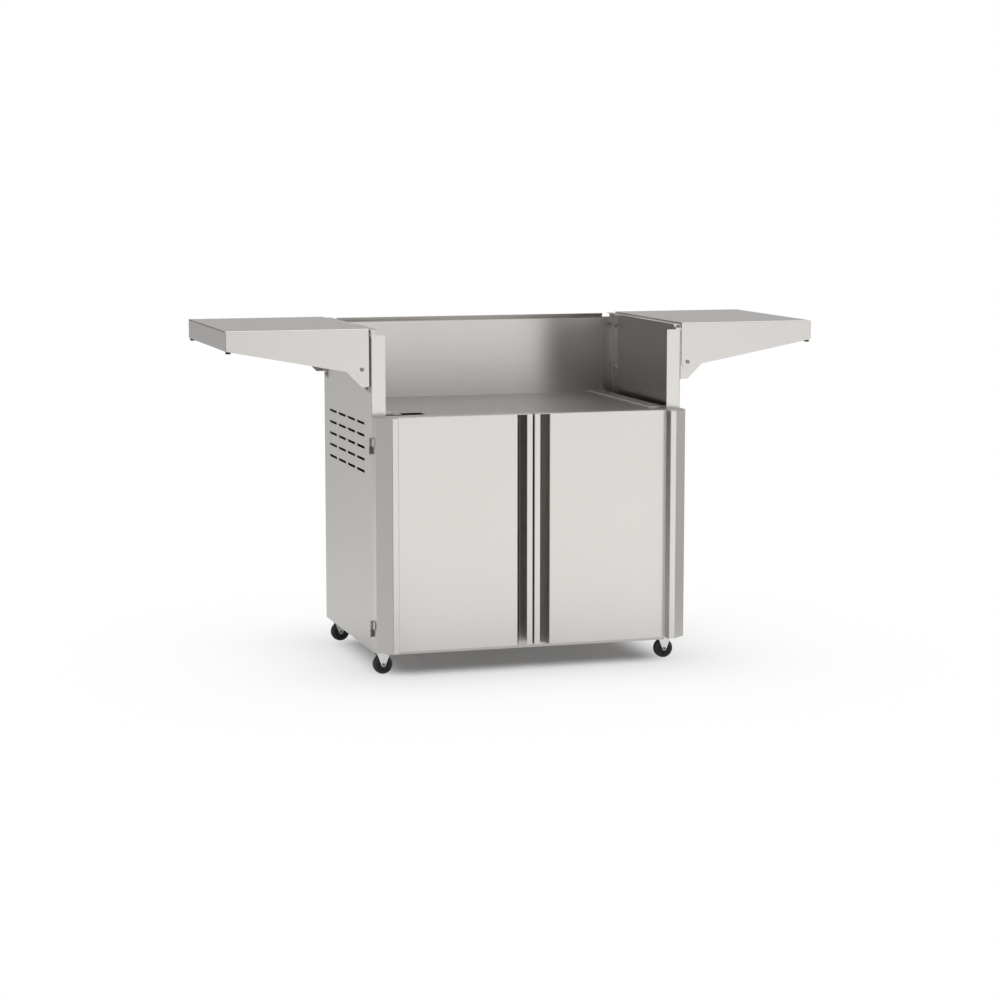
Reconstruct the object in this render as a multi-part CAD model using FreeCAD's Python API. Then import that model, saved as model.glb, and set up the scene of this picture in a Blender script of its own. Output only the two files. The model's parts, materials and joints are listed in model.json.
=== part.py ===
import FreeCAD, Part
import math
import os

os.makedirs("parts", exist_ok=True)

# Stainless grill cart: millimetres, X to the right seen from the front, Y to the rear, Z up from the floor.

# Sheet metal, and how far each cutting shape runs past what it cuts
sheet = 1.5
bend = 1.0
bracket_sheet = 2.0
bracket_bend = 3.0
past = 1.0

# Fits
running_gap = 0.05
bolt_radius = 3.0
bolt_head_width = 10.0
bolt_head_height = 4.0
nut_height = 5.0
bolt_hole_radius = bolt_radius + running_gap

# Casters, from the floor up
wheel_radius = 25.4
tyre_thick = 7.4
tyre_half_width = 10.0
tyre_rounding = 3.5
hub_overhang = 1.0
hub_rim = 2.0
hub_rebate = 3.0
hub_boss_radius = 8.0
axle_radius = 3.0
axle_head_width = 7.0
axle_head_height = 3.0
hub_play = 1.0
leg_thick = 2.0
leg_top_half = 17.0
leg_tip_radius = 5.8
wheel_clear = 0.8
kingpin_radius = 4.0
kingpin_head_radius = 6.5
kingpin_head_height = 2.0
swivel_gap = 0.4
crown_thick = 3.0
crown_race_radius = 13.0
crown_race_height = 3.5
race_radius = 14.0
race_height = 6.6
plate_half_x = 26.0
plate_half_y = 23.0
plate_thick = 2.5
plate_bolt_inset = 6.0
tyre_inner = wheel_radius - tyre_thick
hub_half_width = tyre_half_width + hub_overhang
leg_inner = hub_half_width + hub_play
leg_outer = leg_inner + leg_thick
kingpin_head_bottom = 2.0 * wheel_radius + wheel_clear
crown_bottom = kingpin_head_bottom + kingpin_head_height + swivel_gap
crown_top = crown_bottom + crown_thick
race_bottom = crown_top + crown_race_height + swivel_gap
plate_low = race_bottom + race_height
plate_top = plate_low + plate_thick

# Cabinet outline, standing on the casters
cabinet_half = 420.5
cabinet_depth = 538.0
rear_plane = 305.5
front_plane = rear_plane - cabinet_depth
floor_lip = 18.3
panel_skirt = 8.1
cabinet_room = 602.5
bay_height = 223.0
side_inner = cabinet_half - sheet
flange_back = front_plane + sheet
back_front = rear_plane - sheet
floor_top = plate_top + sheet
lip_bottom = floor_top - floor_lip
panel_bottom = floor_top - panel_skirt
deck_top = floor_top + cabinet_room
side_top = deck_top + bay_height

# Caster places under the cabinet floor
plate_side_gap = 4.5
plate_front_gap = 4.2
plate_rear_gap = 1.0
caster_x = side_inner - plate_half_x - plate_side_gap
caster_front_y = flange_back + plate_half_y + plate_front_gap
caster_rear_y = back_front - plate_half_y - plate_rear_gap

# Folded edges of the side panels
top_flange_width = 20.0
front_flange_width = 37.5
front_tab_width = 12.5
front_flange_drop = 14.0
front_step_drop = 9.5
front_tab_setback = 14.0
rear_tab_width = 12.0
side_fold_depth = 17.0
front_flange_top = side_top - front_flange_drop
front_flange_step = side_top - front_step_drop
side_fold_start = side_top - side_fold_depth

# Vent slots in each side panel
vent_rows = 5
vent_columns = 4
vent_row_pitch = 31.2
vent_column_pitch = 105.0
vent_length = 85.0
vent_height = 6.8
vent_shift = 7.2
vent_below_deck = 86.5
vent_middle_y = 0.5 * (front_plane + rear_plane) + vent_shift
vent_middle_z = deck_top - vent_below_deck

# Back panel and the upright angles in the rear corners
angle_back_leg = 33.0
angle_side_leg = 46.0
angle_drop = 11.0
back_lip_drop = 13.4
back_lip_height = 13.0
back_lip_lean = 4.5
back_lip_root = 2.0
back_lip_bend = 0.5
back_lip_half = side_inner - angle_back_leg
back_lip_bottom = side_top - back_lip_drop
back_flat_top = back_lip_bottom - back_lip_root
angle_top = side_top - angle_drop

# Deck under the grill bay
deck_end_gap = 1.0
deck_tongue_gap = 1.5
deck_tongue_depth = 91.5
deck_front_drop = 34.0
deck_front_return = 17.0
deck_rear_drop = 22.0
deck_half = back_lip_half - deck_end_gap
deck_tongue_half = side_inner - deck_tongue_gap
deck_tongue_rear = front_plane + deck_tongue_depth

# Hose opening in the deck and the slit that leads to it
hose_hole_inset = 58.0
hose_hole_width = 58.0
hose_hole_setback = 28.5
hose_hole_depth = 59.0
hose_slit_lead = 6.0
hose_slit_width = 26.0
hose_hole_left = -deck_half + hose_hole_inset
hose_hole_front = front_plane + hose_hole_setback
hose_slit_front = hose_hole_front - hose_slit_lead

# Rails on the deck
rail_width = 40.0
rail_thick = 4.0
rail_chamfer = 3.0
rail_setback = 30.0
rail_slit_gap = 3.0
rail_end_gap = 2.0
rail_top = deck_top + rail_thick
left_rail_front = hose_slit_front + hose_slit_width + rail_slit_gap
right_rail_front = front_plane + rail_setback
rail_rear = back_front - rail_end_gap

# Floor of the cabinet
floor_end_gap = 0.5
floor_half = cabinet_half - front_flange_width - floor_end_gap

# Doors, written for the left one
door_gap = 1.5
door_floor_overlap = 2.5
door_deck_overlap = 1.5
door_edge = 1.7
door_wall_depth = 40.0
door_strip_depth = 71.5
door_depth = 45.5
strip_setback = 36.5
strip_width = 16.5
strip_slant = 2.0
pull_mouth = 42.0
pull_slant = 16.0
pull_depth = 38.5
pull_lip = 16.0
pan_clear = 0.4
door_back = front_plane - door_gap
door_bottom = floor_top - door_floor_overlap
door_top = deck_top + door_deck_overlap
door_side_front = door_back - door_wall_depth
strip_front = door_back - door_strip_depth
panel_front = door_back - door_depth
strip_outer = cabinet_half - strip_setback
strip_inner = strip_outer - strip_width
panel_outer = strip_inner - strip_slant
panel_inner = door_edge + pull_mouth
pull_floor_start = panel_inner - pull_slant
pull_floor_front = panel_front + pull_depth
pull_lip_reach = door_edge + pull_lip

# Lift-off hinges
hinge_radius = 3.1
hinge_stand_off = 0.5
hinge_pin_radius = 2.0
hinge_pin_reach = 13.0
hinge_pin_root = 1.0
hinge_height = 42.0
hinge_gap = 0.4
hinge_leaf = 2.0
hinge_leaf_gap = 0.3
hinge_door_leaf = 30.0
hinge_side_leaf = 20.0
hinge_top_inset = 75.5
hinge_bottom_inset = 56.0
hinge_axis_x = -cabinet_half - hinge_radius - hinge_stand_off
hinge_axis_y = 0.5 * (front_plane + door_back)
hinge_middles = (door_top - hinge_top_inset, door_bottom + hinge_bottom_inset)

# Magnetic catches
catch_middle = 48.0
catch_length = 44.0
catch_height = 13.0
catch_depth = 17.7
catch_gap = 0.3
strike_thick = 1.0
strike_length = 50.0
strike_height = 18.0
catch_front = door_back + strike_thick + catch_gap

# Folding shelves, written for the left one
shelf_rise = 3.0
shelf_gap = 5.0
shelf_reach = 370.0
shelf_front_setback = 4.0
shelf_rear_setback = 3.5
shelf_end_depth = 50.7
shelf_inner_flange = 14.0
shelf_end_return = 16.0
skirt_slope = 0.1866
pivot_out = 22.5
pivot_drop = 103.6
ear_radius = 17.5
bumper_radius = 7.0
bumper_height = 7.0
bumper_inset = 9.0
bumper_rounding = 1.2
shelf_top = side_top + shelf_rise
shelf_inner = cabinet_half + shelf_gap
shelf_outer = shelf_inner + shelf_reach
shelf_front = front_plane + shelf_front_setback
shelf_rear = rear_plane - shelf_rear_setback
shelf_end_bottom = shelf_top - shelf_end_depth
pivot_x = cabinet_half + pivot_out
pivot_z = shelf_top - pivot_drop

# Shoulder bolts of the shelves
pivot_radius = 3.0
pivot_head_radius = 5.5
pivot_head_height = 3.0
pivot_head_rounding = 1.0
pivot_head_gap = 0.4
collar_radius = 5.0
collar_gap = 0.3

# Fixed shelf brackets, outward from the side panel and up or down from the pivot
bracket_gap = 1.0
bracket_foot_out = 23.5
bracket_shoulder_out = 45.5
bracket_neck_out = 14.0
bracket_reach = 63.5
bracket_below = 60.4
bracket_foot_below = 45.4
bracket_tip_below = 5.4
bracket_tip_above = 3.6
bracket_shoulder_above = 18.6
bracket_above = 84.0
bracket_flange = 40.0
bracket_bolt_inset = 31.0
bracket_bolt_below = 51.4
bracket_bolt_above = 63.6
bracket_bottom = pivot_z - bracket_below
bracket_foot = pivot_z - bracket_foot_below
bracket_top = pivot_z + bracket_above
bracket_tip_x = cabinet_half + bracket_reach
front_plate = shelf_front + sheet + bracket_gap
rear_plate = shelf_rear - sheet - bracket_gap


def vec(x, y, z):
    return FreeCAD.Vector(x, y, z)


def block(x0, x1, y0, y1, z0, z1):
    return Part.makeBox(x1 - x0, y1 - y0, z1 - z0, vec(x0, y0, z0))


def rod(x, y, z, radius, length, direction):
    return Part.makeCylinder(radius, length, vec(x, y, z), direction)


along_x = vec(1, 0, 0)
along_y = vec(0, 1, 0)
along_z = vec(0, 0, 1)


def mirrored(shape):
    return shape.mirror(vec(0, 0, 0), along_x)


def joined(shapes):
    return shapes[0].multiFuse(shapes[1:]).removeSplitter()


def on_plan(z):
    return lambda point: vec(point[0], point[1], z)


def on_front(y):
    return lambda point: vec(point[0], y, point[1])


def on_side(x):
    return lambda point: vec(x, point[0], point[1])


def prism(points, place, run):
    """Straight-sided solid from a closed outline."""
    corners = [place(point) for point in points]
    corners.append(corners[0])
    return Part.Face(Part.makePolygon(corners)).extrude(run)


def unit(start, end):
    length = math.hypot(end[0] - start[0], end[1] - start[1])
    return ((end[0] - start[0]) / length, (end[1] - start[1]) / length)


def offset_path(points, distance):
    """Open path moved to its own left, with mitred corners."""
    headings = [unit(a, b) for a, b in zip(points, points[1:])]
    moved = []
    for i, point in enumerate(points):
        before = headings[max(i - 1, 0)]
        after = headings[min(i, len(headings) - 1)]
        share = distance / (1.0 + before[0] * after[0] + before[1] * after[1])
        u = point[0] - share * (before[1] + after[1])
        v = point[1] + share * (before[0] + after[0])
        moved.append((u, v))
    return moved


def rounded_path(points, radii, place):
    """Edges of an open path whose corners are rounded."""
    edges = []
    start = points[0]
    for i in range(1, len(points) - 1):
        corner = points[i]
        arriving = unit(points[i - 1], corner)
        leaving = unit(corner, points[i + 1])
        turn = math.acos(arriving[0] * leaving[0] + arriving[1] * leaving[1])
        reach = radii[i] * math.tan(turn / 2.0)
        first = (corner[0] - arriving[0] * reach, corner[1] - arriving[1] * reach)
        last = (corner[0] + leaving[0] * reach, corner[1] + leaving[1] * reach)
        inward = unit(arriving, leaving)
        depth = radii[i] / math.cos(turn / 2.0) - radii[i]
        middle = (corner[0] + inward[0] * depth, corner[1] + inward[1] * depth)
        edges.append(Part.LineSegment(place(start), place(first)).toShape())
        edges.append(Part.Arc(place(first), place(middle), place(last)).toShape())
        start = last
    edges.append(Part.LineSegment(place(start), place(points[-1])).toShape())
    return edges


def bent_sheet(points, place, run, thick=sheet, inside=bend):
    """Sheet folded along an open path, with its thickness on the left of the path."""
    other = offset_path(points, thick)
    near_radii = [0.0]
    far_radii = [0.0]
    for a, b, c in zip(points, points[1:], points[2:]):
        arriving = unit(a, b)
        leaving = unit(b, c)
        left_turn = arriving[0] * leaving[1] - arriving[1] * leaving[0] > 0
        near_radii.append(inside + thick if left_turn else inside)
        far_radii.append(inside if left_turn else inside + thick)
    edges = rounded_path(points, near_radii, place) + rounded_path(other, far_radii, place)
    edges.append(Part.LineSegment(place(points[0]), place(other[0])).toShape())
    edges.append(Part.LineSegment(place(points[-1]), place(other[-1])).toShape())
    return Part.Face(Part.Wire(Part.sortEdges(edges)[0])).extrude(run)


def hexagon(width, height):
    """Hexagonal head standing on the origin along Z."""
    reach = width / math.sqrt(3.0)
    angles = [math.radians(60.0 * i) for i in range(6)]
    corners = [(reach * math.cos(a), reach * math.sin(a)) for a in angles]
    return prism(corners, on_plan(0.0), vec(0, 0, height))


def bolt_and_nut(grip):
    """Bolt whose head sits under the origin and whose nut starts at the grip, along Z."""
    head = hexagon(bolt_head_width, bolt_head_height)
    head.translate(vec(0, 0, -bolt_head_height))
    shank = rod(0, 0, 0, bolt_radius, grip + nut_height, along_z)
    nut = hexagon(bolt_head_width, nut_height)
    nut.translate(vec(0, 0, grip))
    return joined([head, shank, nut])


def set_along(shape, place, direction):
    """Copy of a shape built along Z, turned to a direction and moved to a place."""
    turned = shape.copy()
    turned.Placement = FreeCAD.Placement(place, FreeCAD.Rotation(along_z, direction))
    return turned


parts = {}

# Side panels: one sheet each, folded inward at the front and along the top, with rows of vent slots
side_path = [
    (-cabinet_half, rear_plane),
    (-cabinet_half, front_plane),
    (-cabinet_half + front_flange_width, front_plane),
]
side_wall = bent_sheet(side_path, on_plan(panel_bottom), vec(0, 0, side_fold_start - panel_bottom))
top_path = [
    (-cabinet_half + top_flange_width, side_top),
    (-cabinet_half, side_top),
    (-cabinet_half, side_fold_start),
]
top_flange = bent_sheet(top_path, on_front(flange_back), vec(0, rear_plane - flange_back, 0))
flange_end = -cabinet_half + front_flange_width
flange_step = -cabinet_half + front_tab_width
flange_head = prism(
    [
        (-cabinet_half + bend + sheet, side_fold_start),
        (flange_end, side_fold_start),
        (flange_end, front_flange_top),
        (flange_step, front_flange_top),
        (flange_step, front_flange_step),
        (-cabinet_half + bend + sheet, front_flange_step),
    ],
    on_front(front_plane),
    vec(0, sheet, 0),
)
tab_front = flange_back + front_tab_setback
tab_back = tab_front + sheet
front_tab = block(-side_inner, flange_step, tab_front, tab_back, front_flange_top, side_top - sheet)
tab_end = -cabinet_half + rear_tab_width
rear_tab = block(-side_inner, tab_end, back_front, rear_plane, back_flat_top, side_top - sheet)
side_panel = joined([side_wall, top_flange, flange_head, front_tab, rear_tab])
slots = []
slot_radius = 0.5 * vent_height
slot_half = 0.5 * vent_length - slot_radius
slot_start = -cabinet_half - past
slot_through = sheet + 2.0 * past
for row in range(vent_rows):
    z = vent_middle_z + (row - 0.5 * (vent_rows - 1)) * vent_row_pitch
    for column in range(vent_columns):
        y = vent_middle_y + (column - 0.5 * (vent_columns - 1)) * vent_column_pitch
        y0 = y - slot_half
        y1 = y + slot_half
        slots.append(block(slot_start, slot_start + slot_through, y0, y1, z - slot_radius, z + slot_radius))
        slots.append(rod(slot_start, y0, z, slot_radius, slot_through, along_x))
        slots.append(rod(slot_start, y1, z, slot_radius, slot_through, along_x))
side_panel = side_panel.cut(slots)

# Places of the bolts that hold each left bracket, as (y, z)
front_bolt_y = front_plate + bracket_bolt_inset
rear_bolt_y = rear_plate - bracket_bolt_inset
bracket_bolt_levels = (pivot_z - bracket_bolt_below, pivot_z + bracket_bolt_above)
bracket_bolt_places = [(y, z) for y in (front_bolt_y, rear_bolt_y) for z in bracket_bolt_levels]
hole_start = -cabinet_half - bracket_sheet - past
hole_through = bracket_sheet + 2.0 * sheet + 2.0 * past
bolt_holes = [rod(hole_start, y, z, bolt_hole_radius, hole_through, along_x) for y, z in bracket_bolt_places]
side_panel = side_panel.cut(bolt_holes)
parts["left_side_panel"] = side_panel
parts["right_side_panel"] = mirrored(side_panel)

# Back panel: a flat sheet between the side panels with a leaning lip along its top edge
back_flat = block(-side_inner, side_inner, back_front, rear_plane, panel_bottom, back_flat_top)
lip_path = [
    (rear_plane, back_flat_top),
    (rear_plane, back_lip_bottom),
    (rear_plane - back_lip_lean, back_lip_bottom + back_lip_height),
]
lip_run = vec(2.0 * back_lip_half, 0, 0)
back_lip = bent_sheet(lip_path, on_side(-back_lip_half), lip_run, sheet, back_lip_bend)
parts["back_panel"] = joined([back_flat, back_lip])

# Upright angles that tie the back panel to the side panels
angle_path = [
    (-side_inner + angle_back_leg, back_front),
    (-side_inner, back_front),
    (-side_inner, back_front - angle_side_leg),
]
corner_angle = bent_sheet(angle_path, on_plan(floor_top), vec(0, 0, angle_top - floor_top))
corner_angle = corner_angle.cut(bolt_holes)
parts["left_corner_angle"] = corner_angle
parts["right_corner_angle"] = mirrored(corner_angle)

# Deck: floor of the grill bay, folded down at the front and rear, with the opening for the gas hose
deck_path = [
    (back_front, deck_top - deck_rear_drop),
    (back_front, deck_top),
    (flange_back, deck_top),
    (flange_back, deck_top - deck_front_drop),
    (flange_back + deck_front_return, deck_top - deck_front_drop),
]
deck = bent_sheet(deck_path, on_side(-deck_tongue_half), vec(2.0 * deck_tongue_half, 0, 0))
cut_top = deck_top + past
cut_low = deck_top - sheet - past
side_cut = block(
    -deck_tongue_half - past,
    -deck_half,
    deck_tongue_rear,
    rear_plane,
    deck_top - deck_rear_drop - past,
    cut_top,
)
hose_hole_right = hose_hole_left + hose_hole_width
hose_hole_rear = hose_hole_front + hose_hole_depth
hose_hole = block(hose_hole_left, hose_hole_right, hose_hole_front, hose_hole_rear, cut_low, cut_top)
hose_slit_rear = hose_slit_front + hose_slit_width
hose_slit = block(-deck_half, hose_hole_left, hose_slit_front, hose_slit_rear, cut_low, cut_top)
parts["deck"] = deck.cut([side_cut, mirrored(side_cut), hose_hole, hose_slit])

# Flat rails along both sides of the deck that carry the grill head, the left one clear of the hose slit
rail_inner = deck_half - rail_width
rail_profile = [
    (-deck_half, deck_top),
    (-rail_inner, deck_top),
    (-rail_inner, rail_top - rail_chamfer),
    (-rail_inner - rail_chamfer, rail_top),
    (-deck_half, rail_top),
]
left_rail = prism(rail_profile, on_front(left_rail_front), vec(0, rail_rear - left_rail_front, 0))
right_rail = prism(rail_profile, on_front(right_rail_front), vec(0, rail_rear - right_rail_front, 0))
parts["left_deck_rail"] = left_rail
parts["right_deck_rail"] = mirrored(right_rail)

# Floor of the cabinet with its front lip, which shows under the doors
floor_path = [
    (back_front, floor_top),
    (front_plane, floor_top),
    (front_plane, lip_bottom),
]
floor = bent_sheet(floor_path, on_side(-side_inner), vec(2.0 * side_inner, 0, 0))
corner_clear = flange_back + bend
floor_end = block(
    -side_inner - past,
    -floor_half,
    front_plane - past,
    corner_clear,
    lip_bottom - past,
    floor_top + past,
)
floor = floor.cut([floor_end, mirrored(floor_end)])
caster_places = {
    "front_left": (-caster_x, caster_front_y),
    "front_right": (caster_x, caster_front_y),
    "rear_left": (-caster_x, caster_rear_y),
    "rear_right": (caster_x, caster_rear_y),
}
plate_bolt_x = plate_half_x - plate_bolt_inset
plate_bolt_y = plate_half_y - plate_bolt_inset
plate_bolts = [(sx * plate_bolt_x, sy * plate_bolt_y) for sx in (-1, 1) for sy in (-1, 1)]
plate_bolt_places = [(cx + bx, cy + by) for cx, cy in caster_places.values() for bx, by in plate_bolts]
plate_grip = plate_thick + sheet
plate_hole = rod(0, 0, 0, bolt_hole_radius, plate_grip + 2.0 * past, along_z)
floor_holes = [set_along(plate_hole, vec(x, y, plate_low - past), along_z) for x, y in plate_bolt_places]
parts["cabinet_floor"] = floor.cut(floor_holes)

# Brackets that carry the shelves: a gusset plate folded onto the side panel, where it runs further down
bracket_path = [
    (-bracket_tip_x, front_plate),
    (-cabinet_half, front_plate),
    (-cabinet_half, front_plate + bracket_flange),
]
bracket = bent_sheet(
    bracket_path,
    on_plan(bracket_foot),
    vec(0, 0, bracket_top - bracket_foot),
    bracket_sheet,
    bracket_bend,
)
bracket_outline = prism(
    [
        (-cabinet_half, bracket_foot),
        (-cabinet_half - bracket_foot_out, bracket_foot),
        (-bracket_tip_x, pivot_z - bracket_tip_below),
        (-bracket_tip_x, pivot_z + bracket_tip_above),
        (-cabinet_half - bracket_shoulder_out, pivot_z + bracket_shoulder_above),
        (-cabinet_half - bracket_neck_out, bracket_top),
        (-cabinet_half, bracket_top),
    ],
    on_front(front_plate),
    vec(0, bracket_flange, 0),
)
bracket_heel = block(
    -cabinet_half - bracket_sheet,
    -cabinet_half,
    front_plate + bracket_sheet + bracket_bend,
    front_plate + bracket_flange,
    bracket_bottom,
    bracket_foot,
)
pivot_hole_radius = pivot_radius + running_gap
pivot_through = sheet + bracket_gap + bracket_sheet + 2.0 * past
pivot_hole = rod(-pivot_x, shelf_front - past, pivot_z, pivot_hole_radius, pivot_through, along_y)
front_bracket = joined([bracket.common(bracket_outline), bracket_heel]).cut([pivot_hole] + bolt_holes)
middle_y = 0.5 * (shelf_front + shelf_rear)
rear_bracket = front_bracket.mirror(vec(0, middle_y, 0), along_y)
parts["left_front_bracket"] = front_bracket
parts["left_rear_bracket"] = rear_bracket
parts["right_front_bracket"] = mirrored(front_bracket)
parts["right_rear_bracket"] = mirrored(rear_bracket)

# Bolts that hold the brackets, heads outside and nuts inside the cabinet
front_grip = bracket_sheet + sheet
rear_grip = front_grip + sheet
bracket_bolts = []
for y, z in bracket_bolt_places:
    grip = front_grip if y == front_bolt_y else rear_grip
    bolt = set_along(bolt_and_nut(grip), vec(-cabinet_half - bracket_sheet, y, z), along_x)
    bracket_bolts.append(bolt)
    bracket_bolts.append(mirrored(bolt))
parts["bracket_bolts"] = Part.makeCompound(bracket_bolts)

# Shoulder bolts on which the shelves turn, clamped to the brackets
collar_thick = bracket_gap - collar_gap
pivot_head = Part.makeCylinder(pivot_head_radius, pivot_head_height)
pivot_head = pivot_head.makeFillet(pivot_head_rounding, [pivot_head.Edges[2]])
pivot_head.translate(vec(0, 0, -pivot_head_height))
shank_length = pivot_head_gap + sheet + bracket_gap + bracket_sheet
pivot_shank = rod(0, 0, 0, pivot_radius, shank_length + nut_height, along_z)
collar_start = shank_length - bracket_sheet - collar_thick
pivot_collar = rod(0, 0, collar_start, collar_radius, collar_thick, along_z)
pivot_nut = hexagon(bolt_head_width, nut_height)
pivot_nut.translate(vec(0, 0, shank_length))
pivot_bolt = joined([pivot_head, pivot_shank, pivot_collar, pivot_nut])
front_pivot = set_along(pivot_bolt, vec(-pivot_x, shelf_front - pivot_head_gap, pivot_z), along_y)
rear_pivot = front_pivot.mirror(vec(0, middle_y, 0), along_y)
left_pivots = Part.makeCompound([front_pivot, rear_pivot])
parts["left_pivot_bolts"] = left_pivots
parts["right_pivot_bolts"] = mirrored(left_pivots)

# Folding shelves: a pan open below and towards the cabinet, its skirts tapering to the outer end
ear_line_z = shelf_end_bottom - skirt_slope * (shelf_outer - pivot_x)
shelf_depth = shelf_rear - shelf_front
shelf_outline = [
    (-shelf_inner, shelf_top),
    (-shelf_outer, shelf_top),
    (-shelf_outer, shelf_end_bottom),
    (-pivot_x, ear_line_z),
    (-pivot_x, pivot_z),
    (-shelf_inner, pivot_z),
]
shelf_block = prism(shelf_outline, on_front(shelf_front), vec(0, shelf_depth, 0))
ear = rod(-pivot_x, shelf_front, pivot_z, ear_radius, shelf_depth, along_y)
shelf_block = joined([shelf_block, ear])
nearly = 0.01
sharp_corners = []
for edge in shelf_block.Edges:
    box = edge.BoundBox
    flat_top = box.ZMin > shelf_top - nearly
    inner_end = box.XMin > -shelf_inner - nearly
    outer_post = box.XMax < -shelf_outer + nearly and box.YLength < nearly
    if (flat_top and not inner_end) or outer_post:
        sharp_corners.append(edge)
shelf_block = shelf_block.makeFillet(sheet + bend, sharp_corners)
shelf_hollow = block(
    -shelf_outer + sheet,
    -shelf_inner - sheet,
    shelf_front + sheet,
    shelf_rear - sheet,
    shelf_end_bottom + sheet,
    shelf_top - sheet,
)
shelf_below = block(
    -shelf_outer + shelf_end_return,
    -shelf_inner + past,
    shelf_front + sheet,
    shelf_rear - sheet,
    pivot_z - 2.0 * ear_radius,
    shelf_top - shelf_inner_flange,
)
shelf_under_return = block(
    -shelf_outer + sheet,
    -shelf_outer + shelf_end_return,
    shelf_front + sheet,
    shelf_rear - sheet,
    pivot_z,
    shelf_end_bottom,
)
shelf = shelf_block.cut([shelf_hollow, shelf_below, shelf_under_return])
rear_hole = pivot_hole.mirror(vec(0, middle_y, 0), along_y)
shelf = shelf.cut([pivot_hole, rear_hole])
parts["left_shelf"] = shelf
parts["right_shelf"] = mirrored(shelf)

# Rubber bumpers under the shelf's outer corners, which meet the side panel when it hangs folded
bumper = Part.makeCylinder(bumper_radius, bumper_height)
bumper = bumper.makeFillet(bumper_rounding, [bumper.Edges[2]])
bumpers = []
for y in (shelf_front + bumper_inset, shelf_rear - bumper_inset):
    place = vec(-shelf_outer + bumper_inset, y, shelf_end_bottom)
    bumpers.append(set_along(bumper, place, vec(0, 0, -1)))
left_bumpers = Part.makeCompound(bumpers)
parts["left_shelf_bumpers"] = left_bumpers
parts["right_shelf_bumpers"] = mirrored(left_bumpers)

# Door skins: side wall, chamfer, proud strip, main panel and the finger pull folded from one sheet
skin_path = [
    (-cabinet_half, door_back),
    (-cabinet_half, door_side_front),
    (-strip_outer, strip_front),
    (-strip_inner, strip_front),
    (-panel_outer, panel_front),
    (-panel_inner, panel_front),
    (-pull_floor_start, pull_floor_front),
    (-door_edge - sheet, pull_floor_front),
    (-door_edge - sheet, panel_front + sheet),
    (-pull_lip_reach, panel_front + sheet),
]
cap_bottom = door_top - sheet
skin = bent_sheet(skin_path, on_plan(door_bottom), vec(0, 0, cap_bottom - door_bottom))
parts["left_door_skin"] = skin
parts["right_door_skin"] = mirrored(skin)

# Door top caps, which close the profile and cross over the finger pull
cap_outline = [
    (-cabinet_half, door_back),
    (-cabinet_half, door_side_front),
    (-strip_outer, strip_front),
    (-strip_inner, strip_front),
    (-panel_outer, panel_front),
    (-door_edge, panel_front),
    (-door_edge, door_back),
]
cap = prism(cap_outline, on_plan(cap_bottom), vec(0, 0, sheet))
parts["left_door_cap"] = cap
parts["right_door_cap"] = mirrored(cap)

# Door inner pans: the back sheet, its folded free edge and the bottom closing plate
pan_path = [
    (-door_edge, pull_floor_front + sheet),
    (-door_edge, door_back),
    (-side_inner, door_back),
]
pan_back = bent_sheet(pan_path, on_plan(door_bottom), vec(0, 0, cap_bottom - door_bottom))
inside_skin = offset_path(skin_path[:8], sheet + pan_clear)
pan_rear = door_back - 0.5 * sheet
pan_floor_outline = [(inside_skin[0][0], pan_rear)] + inside_skin[1:7]
pan_floor_outline += [(-door_edge - 0.5 * sheet, inside_skin[6][1]), (-door_edge - 0.5 * sheet, pan_rear)]
pan_floor = prism(pan_floor_outline, on_plan(door_bottom), vec(0, 0, sheet))
pan = joined([pan_back, pan_floor])
parts["left_door_pan"] = pan
parts["right_door_pan"] = mirrored(pan)

# Lift-off hinges: the lower half with its pin on the side panel, the upper half on the door
half_height = 0.5 * (hinge_height - hinge_gap)
pin_length = hinge_pin_root + hinge_pin_reach
leaf_x = -cabinet_half - hinge_leaf
hinge_bases = []
hinge_leaves = []
for middle in hinge_middles:
    low = middle - 0.5 * hinge_height
    high = low + half_height + hinge_gap
    knuckle = rod(hinge_axis_x, hinge_axis_y, low, hinge_radius, half_height, along_z)
    pin_low = low + half_height - hinge_pin_root
    pin = rod(hinge_axis_x, hinge_axis_y, pin_low, hinge_pin_radius, pin_length, along_z)
    plate_front = front_plane + hinge_leaf_gap
    plate = block(leaf_x, -cabinet_half, plate_front, plate_front + hinge_side_leaf, low, low + half_height)
    hinge_bases.append(joined([knuckle, pin, plate]))
    socket = rod(hinge_axis_x, hinge_axis_y, high, hinge_radius, half_height, along_z)
    plate_rear = door_back - hinge_leaf_gap
    plate = block(leaf_x, -cabinet_half, plate_rear - hinge_door_leaf, plate_rear, high, high + half_height)
    bore_radius = hinge_pin_radius + running_gap
    bore = rod(hinge_axis_x, hinge_axis_y, high - past, bore_radius, pin_length + 2.0 * past, along_z)
    hinge_leaves.append(joined([socket, plate]).cut(bore))
left_bases = Part.makeCompound(hinge_bases)
left_leaves = Part.makeCompound(hinge_leaves)
parts["left_hinge_bases"] = left_bases
parts["right_hinge_bases"] = mirrored(left_bases)
parts["left_hinge_leaves"] = left_leaves
parts["right_hinge_leaves"] = mirrored(left_leaves)

# Magnetic catches under the deck's front fold, and the steel strike plates on the doors
catch_top = deck_top - deck_front_drop
catch_left = -catch_middle - 0.5 * catch_length
catch = block(
    catch_left,
    catch_left + catch_length,
    catch_front,
    catch_front + catch_depth,
    catch_top - catch_height,
    catch_top,
)
parts["left_catch"] = catch
parts["right_catch"] = mirrored(catch)
strike_left = -catch_middle - 0.5 * strike_length
strike_low = catch_top - 0.5 * (catch_height + strike_height)
strike = block(
    strike_left,
    strike_left + strike_length,
    door_back,
    door_back + strike_thick,
    strike_low,
    strike_low + strike_height,
)
parts["left_strike"] = strike
parts["right_strike"] = mirrored(strike)

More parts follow.
